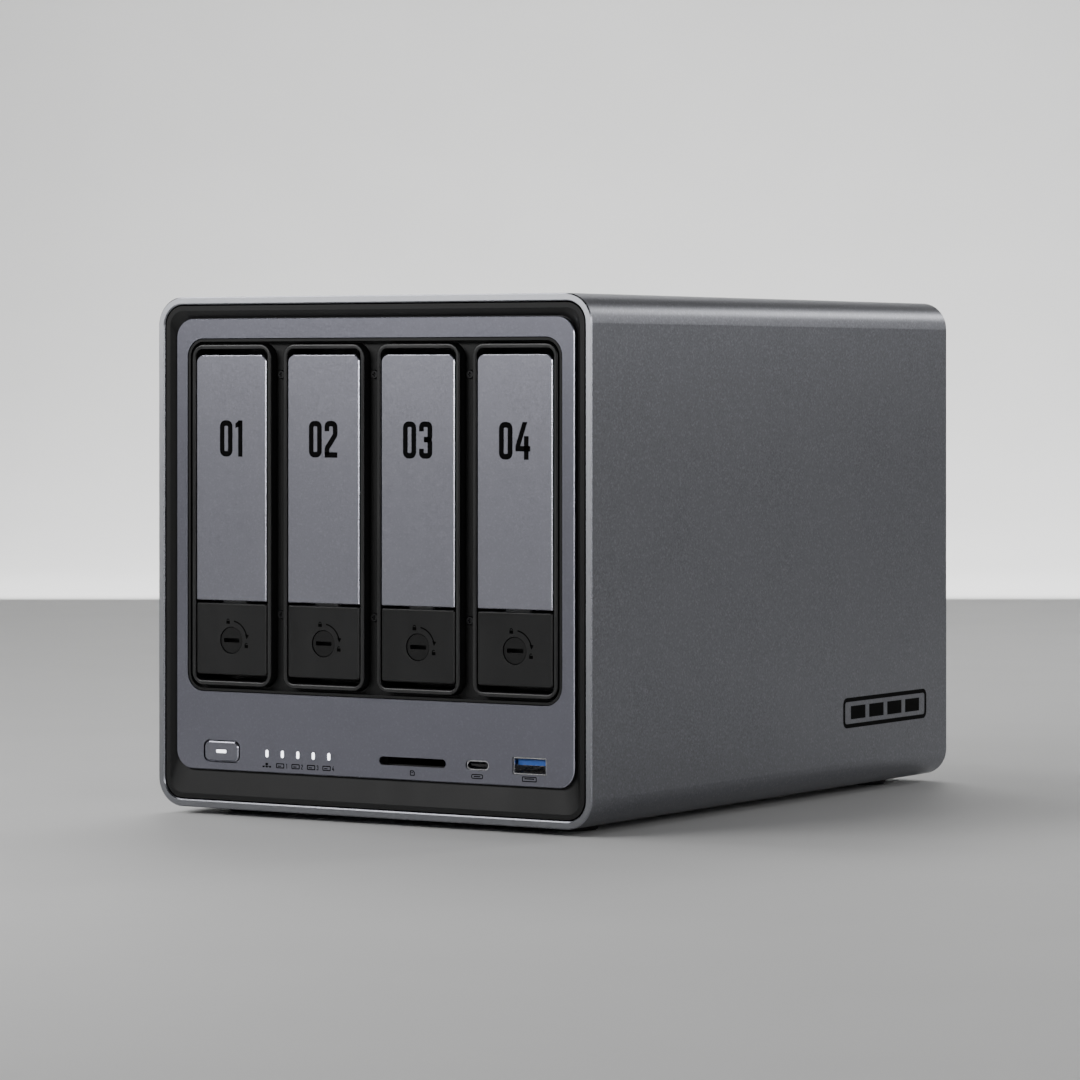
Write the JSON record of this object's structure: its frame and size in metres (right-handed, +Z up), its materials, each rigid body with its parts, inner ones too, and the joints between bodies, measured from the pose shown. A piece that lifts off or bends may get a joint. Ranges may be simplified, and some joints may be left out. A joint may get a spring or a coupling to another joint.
{
  "type": "nas enclosure",
  "caption": "Desktop network storage enclosure: metal sleeve case, pull-out lockable drive trays, front sockets and lights, rear fan and sockets.",
  "frame": {"origin": "centre of the footprint, on the surface the feet stand on", "axes": "+Z up, the front face looks along -Y, +X to the right as seen from the front"},
  "size_m": [0.178, 0.2576, 0.1805],
  "materials": {
    "shell_metal": "bead-blasted, dark grey anodised",
    "panel_metal": "fine blasted, mid grey anodised, polished edges",
    "plate_metal": "fine blasted, mid grey anodised, polished edges",
    "bezel_plastic": "fine spark-eroded black",
    "tray_plastic": "fine spark-eroded black",
    "button_plastic": "satin black",
    "lock_plastic": "satin black",
    "key_metal": "fine blasted, mid grey anodised, polished edge",
    "lever_plastic": "moulded black",
    "bay_metal": "black powder coat",
    "cage_steel": "galvanised sheet",
    "spring_steel": "bright spring wire",
    "screw_black": "black oxide",
    "board_resin": "green solder mask",
    "socket_steel": "bright plated",
    "socket_plastic": "moulded black",
    "tongue_plastic": "moulded blue",
    "light_white": "clear diffuser, lit white",
    "button_light": "clear diffuser, lit white",
    "switch_body": "moulded black",
    "sink_metal": "extruded, clear anodised",
    "rear_metal": "black textured powder coat",
    "cover_metal": "black powder coat",
    "fan_plastic": "glass-filled black",
    "rotor_plastic": "glass-filled dark grey",
    "screen_plastic": "satin black",
    "mesh_steel": "black woven screen",
    "foot_rubber": "soft black"
  },
  "bodies": {
    "chassis": {"outer_shell": "shell_metal", "bottom_cover": "cover_metal", "bottom_cover_screws": "screw_black", "feet": "foot_rubber", "front_bezel": "bezel_plastic", "front_panel": "panel_metal", "light_pipes": "light_white", "front_io_board": "board_resin", "card_slot": "socket_plastic", "usb_c_socket": "socket_steel", "usb_sockets": "socket_steel", "usb_tongues": "tongue_plastic", "tact_switches": "switch_body", "bay_plate": "bay_metal", "panel_screws": "screw_black", "drive_cage": "cage_steel", "guide_rails": "lever_plastic", "backplane_board": "board_resin", "sata_sockets": "socket_plastic", "base_frame": "cage_steel", "main_board": "board_resin", "heatsink": "sink_metal", "memory_sockets": "socket_plastic", "memory_modules": "board_resin", "rear_panel": "rear_metal", "lan_sockets": "socket_steel", "hdmi_socket": "socket_steel", "power_inlet": "socket_plastic", "fan_frame": "fan_plastic", "fan_screws": "foot_rubber"},
    "tray_1": {"tray_1": "tray_plastic", "release_springs_1": "spring_steel"},
    "handle_1": {"handle_1": "lever_plastic", "face_plate_1": "plate_metal"},
    "release_1": {"release_button_1": "button_plastic"},
    "lock_1": {"lock_1": "lock_plastic"},
    "tray_2": {"tray_2": "tray_plastic", "release_springs_2": "spring_steel"},
    "handle_2": {"handle_2": "lever_plastic", "face_plate_2": "plate_metal"},
    "release_2": {"release_button_2": "button_plastic"},
    "lock_2": {"lock_2": "lock_plastic"},
    "tray_3": {"tray_3": "tray_plastic", "release_springs_3": "spring_steel"},
    "handle_3": {"handle_3": "lever_plastic", "face_plate_3": "plate_metal"},
    "release_3": {"release_button_3": "button_plastic"},
    "lock_3": {"lock_3": "lock_plastic"},
    "tray_4": {"tray_4": "tray_plastic", "release_springs_4": "spring_steel"},
    "handle_4": {"handle_4": "lever_plastic", "face_plate_4": "plate_metal"},
    "release_4": {"release_button_4": "button_plastic"},
    "lock_4": {"lock_4": "lock_plastic"},
    "fan": {"fan_rotor": "rotor_plastic"},
    "power_button": {"power_button": "key_metal", "power_light": "button_light"},
    "reset_button": {"reset_button": "switch_body"},
    "dust_screen": {"screen_frame": "screen_plastic", "screen_mesh": "mesh_steel"}
  },
  "joints": [
    {"name": "tray_slide_1", "type": "slide", "parent": "chassis", "child": "tray_1", "axis": [0, -1, 0], "range_m": [0, 0.19]},
    {"name": "handle_swing_1", "type": "hinge", "parent": "tray_1", "child": "handle_1", "pos_m": [-0.05828, -0.12355, 0.15555], "axis": [-1, 0, 0], "range_deg": [0, 55]},
    {"name": "release_press_1", "type": "slide", "parent": "tray_1", "child": "release_1", "axis": [0, 1, 0], "range_m": [0, 0.002], "stiffness_N_per_m": 600, "springref_m": -0.001, "deforming": ["release_springs_1"]},
    {"name": "lock_turn_1", "type": "hinge", "parent": "release_1", "child": "lock_1", "pos_m": [-0.05828, -0.12765, 0.0611], "axis": [0, -1, 0], "range_deg": [0, 90]},
    {"name": "tray_slide_2", "type": "slide", "parent": "chassis", "child": "tray_2", "axis": [0, -1, 0], "range_m": [0, 0.19]},
    {"name": "handle_swing_2", "type": "hinge", "parent": "tray_2", "child": "handle_2", "pos_m": [-0.01943, -0.12355, 0.15555], "axis": [-1, 0, 0], "range_deg": [0, 55]},
    {"name": "release_press_2", "type": "slide", "parent": "tray_2", "child": "release_2", "axis": [0, 1, 0], "range_m": [0, 0.002], "stiffness_N_per_m": 600, "springref_m": -0.001, "deforming": ["release_springs_2"]},
    {"name": "lock_turn_2", "type": "hinge", "parent": "release_2", "child": "lock_2", "pos_m": [-0.01943, -0.12765, 0.0611], "axis": [0, -1, 0], "range_deg": [0, 90]},
    {"name": "tray_slide_3", "type": "slide", "parent": "chassis", "child": "tray_3", "axis": [0, -1, 0], "range_m": [0, 0.19]},
    {"name": "handle_swing_3", "type": "hinge", "parent": "tray_3", "child": "handle_3", "pos_m": [0.01943, -0.12355, 0.15555], "axis": [-1, 0, 0], "range_deg": [0, 55]},
    {"name": "release_press_3", "type": "slide", "parent": "tray_3", "child": "release_3", "axis": [0, 1, 0], "range_m": [0, 0.002], "stiffness_N_per_m": 600, "springref_m": -0.001, "deforming": ["release_springs_3"]},
    {"name": "lock_turn_3", "type": "hinge", "parent": "release_3", "child": "lock_3", "pos_m": [0.01943, -0.12765, 0.0611], "axis": [0, -1, 0], "range_deg": [0, 90]},
    {"name": "tray_slide_4", "type": "slide", "parent": "chassis", "child": "tray_4", "axis": [0, -1, 0], "range_m": [0, 0.19]},
    {"name": "handle_swing_4", "type": "hinge", "parent": "tray_4", "child": "handle_4", "pos_m": [0.05828, -0.12355, 0.15555], "axis": [-1, 0, 0], "range_deg": [0, 55]},
    {"name": "release_press_4", "type": "slide", "parent": "tray_4", "child": "release_4", "axis": [0, 1, 0], "range_m": [0, 0.002], "stiffness_N_per_m": 600, "springref_m": -0.001, "deforming": ["release_springs_4"]},
    {"name": "lock_turn_4", "type": "hinge", "parent": "release_4", "child": "lock_4", "pos_m": [0.05828, -0.12765, 0.0611], "axis": [0, -1, 0], "range_deg": [0, 90]},
    {"name": "power_press", "type": "slide", "parent": "chassis", "child": "power_button", "axis": [0, 1, 0], "range_m": [0, 0.0006], "stiffness_N_per_m": 400, "springref_m": -0.0005},
    {"name": "reset_press", "type": "slide", "parent": "chassis", "child": "reset_button", "axis": [0, -1, 0], "range_m": [0, 0.0004], "stiffness_N_per_m": 800, "springref_m": -0.0003},
    {"name": "fan_spin", "type": "hinge", "parent": "chassis", "child": "fan", "pos_m": [0, 0.11115, 0.106], "axis": [0, 1, 0], "continuous": true},
    {"name": "screen_lift", "type": "slide", "parent": "chassis", "child": "dust_screen", "axis": [0, 1, 0], "range_m": [0, 0.015]}
  ]
}
